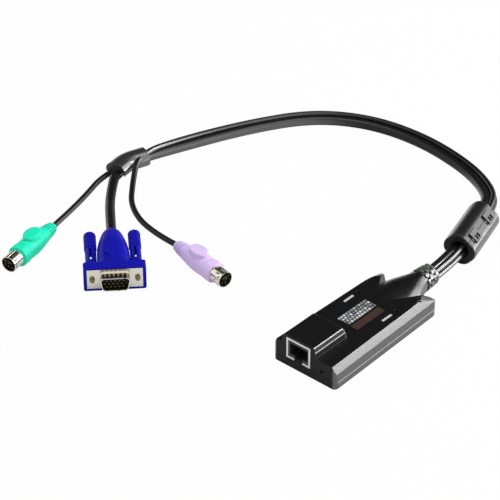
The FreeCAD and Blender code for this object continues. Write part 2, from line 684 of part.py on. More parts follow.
def sleeve_body():
    pts = [(x, y, V["sleeve_mid"]) for x, y in SLEEVE]
    wire = rounded_route("split_sleeve", pts, 0)
    ex = vec(pts[1]) - vec(pts[0])
    ex.normalize()
    flat = FreeCAD.Vector(-ex.y, ex.x, 0)
    oval = Part.Ellipse(vec(pts[0]) + flat * V["sleeve_half_width"],
                        vec(pts[0]) + FreeCAD.Vector(0, 0, V["sleeve_half_height"]),
                        vec(pts[0]))
    shell = Part.BRepOffsetAPI.MakePipeShell(wire)
    shell.add(Part.Wire([oval.toShape()]))
    shell.build()
    shell.makeSolid()
    body = shell.shape()
    # cable passages
    for name in ("video_cable", "mouse_cable", "keyboard_cable"):
        body = body.cut(PARTS[name].Shape)
    # waist between the collar and the body
    at = vec(pts[0]) + ex * V["waist_at"]
    outer = Part.makeCylinder(V["sleeve_half_width"] + 3, V["waist_width"], at, ex)
    waist = Part.makeCylinder(V["waist_radius"], V["waist_width"], at, ex)
    ring = outer.cut(waist)
    body = body.cut(ring)
    solids = sorted(body.Solids, key=lambda s: -s.Volume)
    obj = made("Part::Feature", "sleeve")
    obj.Shape = solids[0]
    return obj


part("split_sleeve", sleeve_body())

# ---------------------------------------------------------------- video plug
# Its own frame: mating face towards -y, cable towards +y, floor at z = 0.
VIDEO_AT = FreeCAD.Placement(FreeCAD.Vector(VIDEO_FRONT[0], VIDEO_FRONT[1], 0),
                             FreeCAD.Rotation(FreeCAD.Vector(0, 0, 1), V["plug_turn"]))


def oval_plate(a, b, x, y, z, height):
    # an upright plate of oval plan, a across and b along
    e = made("Part::Ellipse", "oval")
    e.MajorRadius, e.MinorRadius = max(a, b), min(a, b)
    spin = FreeCAD.Rotation(FreeCAD.Vector(0, 0, 1), 90 if b > a else 0)
    e.Placement = FreeCAD.Placement(FreeCAD.Vector(x, y, z), spin)
    x_ = made("Part::Extrusion", "plate")
    x_.Base = e
    x_.Dir = (0, 0, 1)
    x_.LengthFwd = height
    x_.Solid = True
    return x_


collar = rounded(box("collar_width", "collar_depth", "collar_height", "-collar_width/2", -0.2, 0),
                 lambda e: e.BoundBox.YMax - e.BoundBox.YMin > 4, 1.2)
dome = loft([(5.6, 9.9, 6.5), (16, 9.6, 6.5), (26, 9.0, 6.3), (33, 7.9, 5.9), (39, 6.5, 5.1),
             (43, 4.9, 4.2), (V["hood_end"], 3.9, 3.6)], V["plug_mid"])
# the dome gives way to the two thumbscrews beside it
dome = cut(dome, *[rod("knob_radius+knob_room", "hood_end", s + "screw_spacing/2", "stem_start-0.1",
                       "plug_mid", "y") for s in ("-", "")])
pad = oval_plate(3.1, 6.2, -2.6, 20.5, V["plug_mid"], 6.75)
recess_plate = box("flange_width+0.2", "flange_thick+0.6", "flange_height+0.2",
                   "-flange_width/2-0.1", -0.5, "plug_mid-flange_height/2-0.1")
bores = [rod(1.5, 12, s + "screw_spacing/2", -2, "plug_mid", "y") for s in ("-", "")]
part("video_plug_hood", placed(cut(fuse(collar, dome, pad), recess_plate, *bores), VIDEO_AT))


def dee(width, taper, height, y, depth, radius):
    w = made("Part::Wedge", "dee")
    for prop, val in (("Xmin", -width / 2 + taper), ("Xmax", width / 2 - taper),
                      ("X2min", -width / 2), ("X2max", width / 2)):
        setattr(w, prop, val)
    # height runs along the wedge's own y, depth along its z
    w.Ymin, w.Ymax = -height / 2, height / 2
    w.Zmin, w.Zmax = 0, depth
    w.Z2min, w.Z2max = 0, depth
    # both ends of the wedge have the same section, so the taper is top against bottom
    w.Placement = FreeCAD.Placement(FreeCAD.Vector(0, y + depth, V["plug_mid"]),
                                    FreeCAD.Rotation(FreeCAD.Vector(1, 0, 0), 90))
    return rounded(w, lambda e: e.BoundBox.YMax - e.BoundBox.YMin > depth - 0.01, radius)


plate = box("flange_width", "flange_thick", "flange_height", "-flange_width/2", 0.05,
            "plug_mid-flange_height/2")
plate = cut(plate, *[rod(1.5, 3, s + "screw_spacing/2", -1, "plug_mid", "y")
                     for s in ("-", "")])
reach = V["shell_reach"]
wide, tall, draw = V["shell_width"], V["shell_height"], V["shell_taper"]
shell_out = dee(wide, draw, tall, -reach, reach + 0.5, 2.2)
shell_in = dee(wide - 0.8, draw, tall - 0.8, -reach - 1, reach + 1.05, 1.8)
dents = [box(1.5, 1.3, 0.5, x, -3.6, "plug_mid+4.0") for x in (-6.4, -3.5, -0.6, 2.3, 5.2)]
part("video_plug_shell", placed(cut(fuse(plate, shell_out), shell_in, *dents), VIDEO_AT))
part("video_plug_insulator",
     placed(dee(wide - 1.0, draw, tall - 1.0, -0.9, 0.93, 1.7), VIDEO_AT))
pin_set = []
for row, (n, x0, dz) in enumerate(((5, -4.58, 1.98), (5, -5.73, 0.0), (5, -4.58, -1.98))):
    for k in range(n):
        pin_set.append(rod(0.38, 3.9, x0 + 2.29 * k, -4.8, "plug_mid%+.2f" % dz, "y"))
part("video_plug_pins", placed(group(*pin_set), VIDEO_AT))
for node, sx in (("thumbscrew_left", -1), ("thumbscrew_right", 1)):
    xx = sx * V["screw_spacing"] / 2
    head = rod("knob_radius", "knob_end-knob_start", xx, "knob_start", "plug_mid", "y")
    stem = rod("stem_radius", "knob_start-stem_start+0.2", xx, "stem_start", "plug_mid", "y")
    nub = rod(1.0, 1.5, xx, "knob_end-0.1", "plug_mid", "y")
    flutes = []
    for j in range(14):
        a = math.radians(360 / 14 * j)
        flutes.append(rod(0.33, 20, xx + (V["knob_radius"] + 0.06) * math.cos(a), "knob_start-0.5",
                          V["plug_mid"] + (V["knob_radius"] + 0.06) * math.sin(a), "y"))
    slots = [box(1.0, 17.0, 9, xx - 0.5, "stem_start+2", "plug_mid-4.5")]
    knob = cut(fuse(head, stem, nub), *(flutes + slots))
    inner_bore = rod("screw_radius-0.01", 12, xx, "stem_start-1", "plug_mid", "y")
    part(node, placed(cut(knob, inner_bore), VIDEO_AT))
    part(node.replace("thumbscrew", "thumbscrew_shaft"),
         placed(rod("screw_radius-0.02", 19.3, xx, -1.4, "plug_mid", "y"), VIDEO_AT))

# ---------------------------------------------------------------- mini-DIN plugs
# Own frame: mating face towards -y from the hood's front face at y = 0, axis at z = din_mid.

def din_place(rear, heading):
    m = math.hypot(*heading)
    dx, dy = heading[0] / m, heading[1] / m
    ang = math.degrees(math.atan2(dx, -dy))
    h = V["din_hood"]
    return FreeCAD.Placement(FreeCAD.Vector(rear[0] + dx * h, rear[1] + dy * h, 0),
                             FreeCAD.Rotation(FreeCAD.Vector(0, 0, 1), ang))


def din_plug(prefix, at):
    zc = V["din_mid"]
    front = rounded(rod("din_collar", 5.2, 0, 0.0, "din_mid", "y"),
                    lambda e: e.Curve.TypeId == "Part::GeomCircle", 0.5)
    flat_front = cut(front, box(20, 8, 4, -10, -1, "din_mid+5.75"))
    grip = loft([(4.8, 6.0, 6.0), (10, 6.1, 6.1), (17, 5.9, 5.9), (23, 5.0, 5.0),
                 (V["boot_start"], 4.2, 4.2), (V["din_hood"], V["boot_tip"], V["boot_tip"])], zc)
    pad = rounded(oval_plate(V["pad_half"], V["pad_half_long"], 0, V["pad_at"], zc,
                             V["pad_rise"]),
                  lambda e: e.BoundBox.ZMin > zc + V["pad_rise"] - 0.01, 0.7)
    grooves = [cut(rod(6.0, 0.8, 0, y, "din_mid", "y"),
                   rod("boot_tip+%.2f" % deep, 3, 0, y - 1, "din_mid", "y"))
               for y, deep in ((27.0, 1.05), (29.2, 0.7), (31.4, 0.35))]
    hood = fuse(flat_front, cut(grip, *grooves), pad)
    part(prefix + "_plug_hood", placed(hood, at))
    wall = cut(rod("din_radius", "din_reach", 0, "-din_reach", "din_mid", "y"),
               rod("din_radius-din_wall", 20, 0, "-din_reach-1", "din_mid", "y"))
    keys = [box(1.0, "din_reach+0.5", 0.5, x, "-din_reach-0.2", z) for x, z in
            ((-0.5, zc + 4.5), (-4.2, zc - 3.0), (3.2, zc - 3.0))]
    part(prefix + "_plug_shell", placed(cut(wall, keys[0]), at))
    part(prefix + "_plug_insert", placed(
        fuse(rod("din_radius-din_wall-0.02", 2.6, 0, -2.62, "din_mid", "y"),
             box(2.2, 5.2, 1.2, -1.1, -7.6, "din_mid-0.2")), at))
    dots = []
    for x, z in ((-3.2, 0.6), (3.2, 0.6), (-2.4, 2.7), (2.4, 2.7), (-1.2, -2.6), (1.2, -2.6)):
        dots.append(rod(0.45, 4.55, x, -7.2, zc + z, "y"))
    part(prefix + "_plug_pins", placed(group(*dots), at))


din_plug("mouse", din_place(MOUSE_REAR, MOUSE_DIR))
din_plug("keyboard", din_place(KEYS_REAR, KEYS_DIR))

# ---------------------------------------------------------------- checks and files
doc.recompute()
for o in doc.Objects:
    for s in o.State:
        if s in ("Invalid", "Error"):
            raise RuntimeError("%s is %s" % (o.Label, s))
facets = 0
os.makedirs("parts", exist_ok=True)
for node, obj in PARTS.items():
    s = obj.Shape
    if s.isNull() or not s.isValid() or not s.Solids:
        raise RuntimeError("bad shape: %s" % node)
    s.exportStep("parts/%s.step" % node)
    skin, faces = s.tessellate(0.1)
    bb = FreeCAD.BoundBox()
    for point in skin:
        bb.add(point)
    n = len(faces)
    facets += n
    print("%-22s solids %d vol %9.1f  x %.1f..%.1f y %.1f..%.1f z %.2f..%.2f tri %d" % (
        node, len(s.Solids), s.Volume, bb.XMin, bb.XMax, bb.YMin, bb.YMax, bb.ZMin, bb.ZMax, n))
print("parts", len(PARTS), "facets", facets)
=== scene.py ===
import math

import bmesh
import bpy
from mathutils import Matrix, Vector


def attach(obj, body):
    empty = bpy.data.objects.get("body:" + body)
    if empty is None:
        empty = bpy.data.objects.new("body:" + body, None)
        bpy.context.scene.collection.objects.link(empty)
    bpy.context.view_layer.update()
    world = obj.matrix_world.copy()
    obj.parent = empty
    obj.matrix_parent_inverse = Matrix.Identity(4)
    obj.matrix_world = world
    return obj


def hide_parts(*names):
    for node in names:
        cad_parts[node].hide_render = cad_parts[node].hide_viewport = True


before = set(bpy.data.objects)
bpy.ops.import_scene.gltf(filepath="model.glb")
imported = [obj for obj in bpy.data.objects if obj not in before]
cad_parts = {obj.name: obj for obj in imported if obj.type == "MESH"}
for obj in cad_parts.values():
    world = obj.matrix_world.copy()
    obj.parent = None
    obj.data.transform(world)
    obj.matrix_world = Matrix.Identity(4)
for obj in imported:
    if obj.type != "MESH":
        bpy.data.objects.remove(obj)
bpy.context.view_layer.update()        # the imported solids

scene = bpy.context.scene
scene.view_settings.view_transform = "Standard"


# ---------------------------------------------------------------- camera
# A long lens looks down across the jack end, so all the pieces keep nearly one scale. It
# stands about 1.4 m from the object's middle and sees all of it, from jack to plugs.
def add_object(name, data):
    """A new object that holds the data, put into the scene."""
    thing = bpy.data.objects.new(name, data)
    scene.collection.objects.link(thing)
    return thing


camera_data = bpy.data.cameras.new("camera")
camera_data.lens = 180
camera_data.sensor_width = 36
camera_data.clip_end = 20
camera = add_object("camera", camera_data)
camera.location = (0.66668, -0.84494, 0.80749)
camera.rotation_euler = (math.radians(55), 0, math.radians(41.491))
scene.camera = camera

# ---------------------------------------------------------------- cables
# Three round cables with a matt black PVC jacket: a thick one for the video signals and two
# thin ones for mouse and keyboard. They run side by side through the ferrite to the sleeve,
# then part to their plugs. Routes and diameters are in millimetres, lengths in metres.
MM_PER_M = 1000
BUNDLE_LINE = [(0.0, 59.2, 5.0), (0.9, 79.3, 6.8), (-14.5, 132.2, 6.8), (-27.2, 147.1, 4.6),
               (-53.6, 161.8, 1.4), (-91.9, 169.6, 0.1), (-128.8, 165.0, 0.1),
               (-159.2, 146.5, 0.1), (-179.7, 113.3, 0.1), (-196.6, 72.6, 0.1)]


def beside_bundle(lateral, height):
    """The bundle's line moved sideways and up, for the cable that lies there in it."""
    moved = []
    last = len(BUNDLE_LINE) - 1
    flat = [Vector(p[:2]) for p in BUNDLE_LINE]
    for i, (x, y, lift) in enumerate(BUNDLE_LINE):
        if i == 0:
            side = Vector((-1.0, 0.0))
        elif i == last:
            run = (flat[i] - flat[i - 1]).normalized()
            side = Vector((-run.y, run.x))
        else:
            a = (flat[i] - flat[i - 1]).normalized()
            b = (flat[i + 1] - flat[i]).normalized()
            side = Vector((-a.y - b.y, a.x + b.x)).normalized()
            side /= side.dot(Vector((-a.y, a.x)))
        moved.append((x + side.x * lateral, y + side.y * lateral, lift + height))
    return moved


# Each cable: its diameter, its length, and its route from the strain relief to its plug.
CABLES = {
    "video": (5.8, 0.4296, beside_bundle(1.9, 2.95) + [
        (-210.5, 28.5, 3.3), (-190.5, 2.0, 3.1), (-174.6, -14.3, 6.2), (-160.08, -28.02, 7.4)]),
    "mouse": (3.4, 0.4492, beside_bundle(-3.0, 1.75) + [
        (-212.9, 22.7, 1.85), (-200.2, -13.4, 2.2), (-190.26, -44.51, 6.3)]),
    "keyboard": (3.4, 0.4545, beside_bundle(-2.2, 5.2)[:-1] + [
        (-198.4, 71.8, 6.4), (-203.7, 39.5, 8.9), (-190.2, 20.5, 3.0), (-176.0, 4.0, 1.8),
        (-151.5, -7.3, 2.6), (-125.3, -11.45, 6.3)]),
}


def feed(tree, socket, value):
    """Links another node's output to the socket, or sets a plain value on it."""
    if isinstance(value, bpy.types.NodeSocket):
        tree.links.new(value, socket)
    else:
        socket.default_value = value


def math_node(tree, operation, *values):
    """One sum on plain values or other nodes' outputs; gives the output with its result."""
    node = tree.nodes.new("ShaderNodeMath")
    node.operation = operation
    for socket, value in zip(node.inputs, values):
        feed(tree, socket, value)
    return node.outputs[0]


def ramp(tree, value, low, high, first=0.0, last=1.0, kind="SMOOTHSTEP"):
    """Goes from first to last while the value goes from low to high."""
    node = tree.nodes.new("ShaderNodeMapRange")
    node.interpolation_type = kind
    for name, number in (("Value", value), ("From Min", low), ("From Max", high),
                         ("To Min", first), ("To Max", last)):
        feed(tree, node.inputs[name], number)
    return node.outputs["Result"]


def noise(tree, place, scale, detail):
    """Cloudy noise at a place in object space; gives its value from 0 to 1."""
    node = tree.nodes.new("ShaderNodeTexNoise")
    tree.links.new(place, node.inputs["Vector"])
    feed(tree, node.inputs["Scale"], scale)
    node.inputs["Detail"].default_value = detail
    return node.outputs["Fac"]


def split_axes(tree, vector):
    """The X, Y and Z of a vector, each as an output."""
    node = tree.nodes.new("ShaderNodeSeparateXYZ")
    tree.links.new(vector, node.inputs[0])
    return node.outputs["X"], node.outputs["Y"], node.outputs["Z"]


def new_group(name, takes, gives):
    """An empty node group from socket names and kinds; gives it, its inputs and outputs."""
    group = bpy.data.node_groups.new(name, "ShaderNodeTree")
    for side, sockets in (("INPUT", takes), ("OUTPUT", gives)):
        for socket, kind in sockets.items():
            group.interface.new_socket(socket, in_out=side, socket_type="NodeSocket" + kind)
    inside = group.nodes.new("NodeGroupInput")
    outside = group.nodes.new("NodeGroupOutput")
    return group, inside.outputs, outside.inputs


def grain_group():
    """Fine moulding grain, slow patches of tone and softened edges, in metres."""
    group, given, result = new_group(
        "moulding_grain",
        {"Color": "Color", "Grain Size": "Float", "Grain Depth": "Float", "Roughness": "Float",
         "Patchiness": "Float", "Edge Radius": "Float"},
        {"Color": "Color", "Roughness": "Float", "Normal": "Vector"})
    place = group.nodes.new("ShaderNodeTexCoord").outputs["Object"]
    per_metre = math_node(group, "DIVIDE", 1.0, given["Grain Size"])
    grain = noise(group, place, per_metre, 3)
    cloud = noise(group, place, 90, 4)       # patches about a centimetre across
    soft_edge = group.nodes.new("ShaderNodeBevel")
    soft_edge.samples = 4
    group.links.new(given["Edge Radius"], soft_edge.inputs["Radius"])
    bump = group.nodes.new("ShaderNodeBump")
    bump.inputs["Distance"].default_value = 0.0001
    group.links.new(grain, bump.inputs["Height"])
    group.links.new(given["Grain Depth"], bump.inputs["Strength"])
    group.links.new(soft_edge.outputs["Normal"], bump.inputs["Normal"])
    group.links.new(bump.outputs["Normal"], result["Normal"])
    patch = math_node(group, "MULTIPLY", math_node(group, "SUBTRACT", cloud, 0.5),
                      given["Patchiness"])
    group.links.new(math_node(group, "ADD", patch, given["Roughness"]), result["Roughness"])
    tone = group.nodes.new("ShaderNodeVectorMath")
    tone.operation = "SCALE"
    group.links.new(given["Color"], tone.inputs[0])
    group.links.new(math_node(group, "MULTIPLY_ADD", patch, 1.5, 1.0), tone.inputs["Scale"])
    group.links.new(tone.outputs["Vector"], result["Color"])
    return group


def polish_group():
    """Full where a face looks to the left or right along X, none where it looks up or back."""
    group, given, result = new_group("side_polish", {"Starts": "Float", "Full": "Float"},
                                     {"Polish": "Float"})
    facing = group.nodes.new("ShaderNodeTexCoord").outputs["Normal"]
    across, along, _ = split_axes(group, facing)
    sideways = ramp(group, math_node(group, "ABSOLUTE", across), given["Starts"], given["Full"])
    not_rear = ramp(group, along, 0.3, 0.55, first=1.0, last=0.0)
    group.links.new(math_node(group, "MULTIPLY", sideways, not_rear), result["Polish"])
    return group


moulding_grain = grain_group()
side_polish = polish_group()


def shader(name, color, roughness, **more):
    """A new material with one Principled BSDF; more holds further socket values."""
    material = bpy.data.materials.new(name)
    material.use_nodes = True
    skin = material.node_tree.nodes["Principled BSDF"]
    skin.inputs["Base Color"].default_value = (*color, 1)
    skin.inputs["Roughness"].default_value = roughness
    for socket, value in more.items():
        skin.inputs[socket.replace("_", " ")].default_value = value
    return material


def use_group(tree, group, **settings):
    """Puts a node group into a material and sets its inputs; gives its outputs."""
    node = tree.nodes.new("ShaderNodeGroup")
    node.node_tree = group
    for socket, value in settings.items():
        node.inputs[socket.replace("_", " ")].default_value = value
    return node.outputs


def moulded(name, color, roughness, size=0.0004, depth=0.2, patches=0.12, edge=0.0003,
            polish=None, **more):
    """A moulded plastic or rubber: one colour, its mould grain and slow patches of sheen."""
    material = shader(name, color, roughness, **more)
    tree = material.node_tree
    skin = tree.nodes["Principled BSDF"].inputs
    grain = use_group(tree, moulding_grain, Color=(*color, 1), Grain_Size=size,
                      Grain_Depth=depth, Roughness=roughness, Patchiness=patches,
                      Edge_Radius=edge)
    tree.links.new(grain["Color"], skin["Base Color"])
    tree.links.new(grain["Roughness"], skin["Roughness"])
    tree.links.new(grain["Normal"], skin["Normal"])
    if polish:
        starts, full = polish
        sides = use_group(tree, side_polish, Starts=starts, Full=full)
        tree.links.new(sides["Polish"], skin["Coat Weight"])
        skin["Coat Roughness"].default_value = 0.2
        skin["Coat IOR"].default_value = 2.0
    return material


cable_jacket = moulded("cable_jacket", (0.009, 0.009, 0.0095), 0.3, size=0.0006, depth=0.12,
                       edge=0.0, polish=(0.3, 0.85), Specular_IOR_Level=0.25)
for name, (diameter, length, route) in CABLES.items():
    line = bpy.data.curves.new(name + "_lead", "CURVE")
    line.dimensions = "3D"
    line.resolution_u = 24
    line.bevel_depth = diameter / 2 / MM_PER_M
    line.bevel_resolution = 6
    line.use_fill_caps = True
    spline = line.splines.new("NURBS")
    spline.points.add(len(route) - 1)
    for point, place in zip(spline.points, route):
        point.co = (*(c / MM_PER_M for c in place), 1)
    spline.order_u = 3
    spline.use_endpoint_u = True
    line.materials.append(cable_jacket)
    lead = add_object(name + "_lead", line)
    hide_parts(name + "_cable")
    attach(lead, "adapter")

# ---------------------------------------------------------------- housing
# Two covers moulded in black ABS, screwed together from below, with a raised block over the
# jack and a swept neck at the other end. Their flats are satin and their sides shine.
CASE_BLACK = (0.006, 0.006, 0.0065)
CASE_ROUGHNESS = 0.34
CASE_LOOK = {"size": 0.0006, "depth": 0.1, "patches": 0.05, "edge": 0.0004,
             "polish": (0.12, 0.5), "Specular_IOR_Level": 0.2}


def coat(material, *nodes):
    """Puts a finish on some of the frame's own solids."""
    for node in nodes:
        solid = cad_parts[node]
        solid.data.materials.clear()
        solid.data.materials.append(material)
        for face in solid.data.polygons:
            face.material_index = 0


coat(moulded("case_plastic", CASE_BLACK, CASE_ROUGHNESS, **CASE_LOOK), "lower_cover")

# The top carries a field of pale printed dashes, a brown panel beside it and a pale bar next
# to each window. Each print: its paint, its middle, half its width and half its length.
PRINT_LEVEL = 0.0149        # the flat top is 15 mm up, and nothing below it takes the print
PRINT_CRISPNESS = 6.0       # how fast a print's edge fades, per millimetre
PANEL_BROWN = (0.06, 0.034, 0.027, 1)
BAR_GREY = (0.62, 0.62, 0.62, 1)
PRINTS = (("dashes", (-2.0, -2.5), 4.3, 11.6), (PANEL_BROWN, (5.8, -3.0), 2.5, 11.6),
          (BAR_GREY, (-13.3, 4.0), 0.8, 3.9), (BAR_GREY, (13.1, 4.0), 0.8, 3.9))
DASHES = {"Color1": (0.75, 0.76, 0.78, 1), "Color2": (0.16, 0.17, 0.18, 1),
          "Mortar": (0.01, 0.01, 0.011, 1), "Scale": 1.0, "Mortar Size": 0.35,
          "Mortar Smooth": 0.3, "Brick Width": 2.1, "Row Height": 2.15}


def print_group():
    """A soft-edged rectangle on the top of the housing, its sizes in millimetres."""
    sizes = ("Middle X", "Middle Y", "Half X", "Half Y")
    group, given, result = new_group("print_area", {size: "Float" for size in sizes},
                                     {"Mask": "Float"})
    x, y, z = split_axes(group, group.nodes.new("ShaderNodeTexCoord").outputs["Object"])
    mask = math_node(group, "GREATER_THAN", z, PRINT_LEVEL)
    for axis, metres in (("X", x), ("Y", y)):
        place = math_node(group, "MULTIPLY", metres, float(MM_PER_M))
        away = math_node(group, "ABSOLUTE",
                         math_node(group, "SUBTRACT", place, given["Middle " + axis]))
        room = math_node(group, "SUBTRACT", given["Half " + axis], away)
        inside = group.nodes.new("ShaderNodeClamp")
        group.links.new(math_node(group, "MULTIPLY", room, PRINT_CRISPNESS), inside.inputs[0])
        mask = math_node(group, "MULTIPLY", mask, inside.outputs[0])
    group.links.new(mask, result["Mask"])
    return group


def painted(tree, share, below, paint):
    """The colour below, covered with paint as far as the share goes."""
    node = tree.nodes.new("ShaderNodeMix")
    node.data_type = "RGBA"
    feed(tree, node.inputs["Factor"], share)
    feed(tree, node.inputs[6], below)       # the node's colour A
    feed(tree, node.inputs[7], paint)       # the node's colour B
    return node.outputs[2]                  # the mixed colour


print_area = print_group()
cover_finish = moulded("cover_finish", CASE_BLACK, CASE_ROUGHNESS, **CASE_LOOK)
tree = cover_finish.node_tree
skin = tree.nodes["Principled BSDF"].inputs
where = tree.nodes.new("ShaderNodeTexCoord").outputs
lengthwise = tree.nodes.new("ShaderNodeMapping")
lengthwise.inputs["Rotation"].default_value = (0, 0, math.pi / 2)
lengthwise.inputs["Scale"].default_value = (MM_PER_M,) * 3
tree.links.new(where["Object"], lengthwise.inputs["Vector"])
dashes = tree.nodes.new("ShaderNodeTexBrick")
for socket, value in DASHES.items():
    dashes.inputs[socket].default_value = value
tree.links.new(lengthwise.outputs["Vector"], dashes.inputs["Vector"])
tint = skin["Base Color"].links[0].from_socket
for paint, (x, y), half_width, half_length in PRINTS:
    area = use_group(tree, print_area, Middle_X=x, Middle_Y=y, Half_X=half_width,
                     Half_Y=half_length)
    tint = painted(tree, area["Mask"], tint,
                   dashes.outputs["Color"] if paint == "dashes" else paint)

# The sides of the raised block stay dull, with a pale painted highlight where each side changes
# its slope.
BLOCK_FOOT = 0.0151         # the block stands on the top, above this height
BLOCK_REAR = -0.0245        # and in front of this line
BLOCK_STEEP = 0.88          # how far along X a face of the block looks to count as a side
STEP_HEIGHT = 0.0182        # where the slope changes
STEP_HIGHLIGHT_HALF = 0.0003          # half the painted highlight line's height
# The pale grey of the painted highlight along the step.
STEP_HIGHLIGHT_GREY = (0.55, 0.55, 0.55, 1)
_, y, z = split_axes(tree, where["Object"])
across, _, _ = split_axes(tree, where["Normal"])
on_block = math_node(tree, "MULTIPLY", math_node(tree, "GREATER_THAN", z, BLOCK_FOOT),
                     math_node(tree, "LESS_THAN", y, BLOCK_REAR))
steep = math_node(tree, "GREATER_THAN", math_node(tree, "ABSOLUTE", across), BLOCK_STEEP)
dull = math_node(tree, "MULTIPLY", on_block, steep)
polish = skin["Coat Weight"].links[0].from_socket
tree.links.new(math_node(tree, "MULTIPLY", polish, math_node(tree, "SUBTRACT", 1.0, dull)),
               skin["Coat Weight"])
from_step = math_node(tree, "ABSOLUTE", math_node(tree, "SUBTRACT", z, STEP_HEIGHT))
# Painted highlight: pale grey on the block's sides, along the line where their slope changes.
on_step_highlight = math_node(tree, "LESS_THAN", from_step, STEP_HIGHLIGHT_HALF)
tree.links.new(painted(tree, math_node(tree, "MULTIPLY", dull, on_step_highlight), tint, STEP_HIGHLIGHT_GREY),
               skin["Base Color"])
coat(cover_finish, "upper_cover")

# The rear corners of the top are swept round: the cover is trimmed by a block whose corners
# are long quarter ovals at the top and square below the shoulder line. In millimetres; each
# corner is its oval's middle x and y, then its reach along x and y.
TRIM_HALF_WIDTH = 26.0
TRIM_HALF_LENGTH = 70.0
CORNER_STEPS = 14
LOW_CORNER = (14.0, 31.0, 9.5, 13.0)
HIGH_CORNER = (10.6, 19.8, 6.7, 14.6)
TRIM_LEVELS = ((-2.0, LOW_CORNER), (9.2, LOW_CORNER), (15.05, HIGH_CORNER), (30.0, HIGH_CORNER))
SHARP_FROM = math.radians(12)       # the cover's flats meet at such an angle or more


def trim_outline(height, corner):
    """One level of the trimming block, all round."""
    middle_x, middle_y, reach_x, reach_y = corner
    right = [(TRIM_HALF_WIDTH, -TRIM_HALF_LENGTH), (TRIM_HALF_WIDTH, middle_y - 5)]
    for step in range(CORNER_STEPS + 1):
        turn = step / CORNER_STEPS * math.pi / 2
        right.append((middle_x + reach_x * math.cos(turn), middle_y + reach_y * math.sin(turn)))
    right.append((middle_x, TRIM_HALF_LENGTH))
    left = [(-x, y) for x, y in reversed(right)]
    return [Vector((x, y, height)) / MM_PER_M for x, y in right + left]


def trim_block():
    """The block itself, with a wall between each two levels and a lid at both ends."""
    block = bmesh.new()
    levels = [[block.verts.new(p) for p in trim_outline(*level)] for level in TRIM_LEVELS]
    count = len(levels[0])
    for low, high in zip(levels, levels[1:]):
        for k in range(count):
            n = (k + 1) % count
            block.faces.new((low[k], low[n], high[n], high[k]))
    block.faces.new(list(reversed(levels[0])))
    block.faces.new(levels[-1])
    bmesh.ops.recalc_face_normals(block, faces=block.faces)
    mesh = bpy.data.meshes.new("trim_block")
    block.to_mesh(mesh)
    block.free()
    return add_object("trim_block", mesh)


def swept_cover():
    """The upper cover with its rear corners trimmed, in place of the plain solid."""
    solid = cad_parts["upper_cover"]
    mesh = solid.data.copy()
    welded = bmesh.new()
    welded.from_mesh(mesh)
    bmesh.ops.remove_doubles(welded, verts=welded.verts, dist=1e-6)
    welded.to_mesh(mesh)
    welded.free()
    cover = add_object("swept_cover", mesh)
    cover.matrix_world = solid.matrix_world
    trim = trim_block()
    cut = cover.modifiers.new("rear_corners", "BOOLEAN")
    cut.operation = "INTERSECT"
    cut.solver = "EXACT"
    cut.object = trim
    bpy.context.view_layer.update()
    trimmed = bpy.data.meshes.new_from_object(
        cover.evaluated_get(bpy.context.evaluated_depsgraph_get()))
    cover.modifiers.remove(cut)
    cover.data = trimmed
    bpy.data.objects.remove(trim)
    trimmed.materials.clear()
    trimmed.materials.append(cover_finish)
    for face in trimmed.polygons:
        face.material_index = 0
        face.use_smooth = True
    trimmed.set_sharp_from_angle(angle=SHARP_FROM)
    even = cover.modifiers.new("even_flats", "WEIGHTED_NORMAL")
    even.keep_sharp = True
    even.weight = 100
    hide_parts("upper_cover")
    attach(cover, "adapter")


swept_cover()


# Two plated steel screws hold the covers together from below. Their plating is stained in
# patches a few millimetres across and rubbed duller in places.
def wear_group():
    """Plated metal: stained patches in a bright skin, and rub marks that dull it."""
    group, given, result = new_group(
        "plating_wear",
        {"Color": "Color", "Stain": "Color", "Bare Share": "Float", "Patch Size": "Float",
         "Roughness": "Float"},
        {"Color": "Color", "Roughness": "Float"})
    place = group.nodes.new("ShaderNodeTexCoord").outputs["Object"]
    per_metre = math_node(group, "DIVIDE", 1.0, given["Patch Size"])
    cloud = noise(group, place, per_metre, 3)
    stained = ramp(group, cloud, given["Bare Share"],
                   math_node(group, "ADD", given["Bare Share"], 0.08))
    group.links.new(painted(group, stained, given["Color"], given["Stain"]), result["Color"])
    rubbed = ramp(group, cloud, 0.0, 1.0, first=0.7, last=1.3, kind="LINEAR")
    group.links.new(math_node(group, "MULTIPLY", rubbed, given["Roughness"]),
                    result["Roughness"])
    return group


plating_wear = wear_group()


def plated(name, color, roughness, stain=(0.1, 0.08, 0.06), bare=0.6, patch=0.002):
    """A plated metal with stained patches a few millimetres across."""
    material = shader(name, color, roughness, Metallic=1.0)
    tree = material.node_tree
    skin = tree.nodes["Principled BSDF"].inputs
    wear = use_group(tree, plating_wear, Color=(*color, 1), Stain=(*stain, 1), Bare_Share=bare,
                     Patch_Size=patch, Roughness=roughness)
    tree.links.new(wear["Color"], skin["Base Color"])
    tree.links.new(wear["Roughness"], skin["Roughness"])
    return material


coat(plated("screw_steel", (0.5, 0.5, 0.5), 0.3), "cover_screws")

# ---------------------------------------------------------------- board and its parts
# A green board with its chips, crystal and capacitors, a white header for the cable leads,
# and a signal light under each smoked window.
BOARD_PARTS = {"controller_chip": (0.02, 0.02, 0.02), "memory_chip": (0.02, 0.02, 0.02),
               "crystal": (0.6, 0.6, 0.6), "capacitors": (0.04, 0.05, 0.12),
               "board_chips": (0.4, 0.35, 0.25), "cable_header": (0.8, 0.78, 0.7),
               "cable_leads": (0.4, 0.05, 0.04), "signal_led_left": (0.8, 0.8, 0.75),
               "signal_led_right": (0.8, 0.8, 0.75)}
coat(moulded("board_green", (0.03, 0.2, 0.08), 0.4), "circuit_board")
for node, color in BOARD_PARTS.items():
    coat(moulded(node + "_finish", color, 0.4), node)
coat(moulded("window_smoke", (0.004, 0.004, 0.004), 0.15, edge=0.00015),
     "window_left", "window_right")

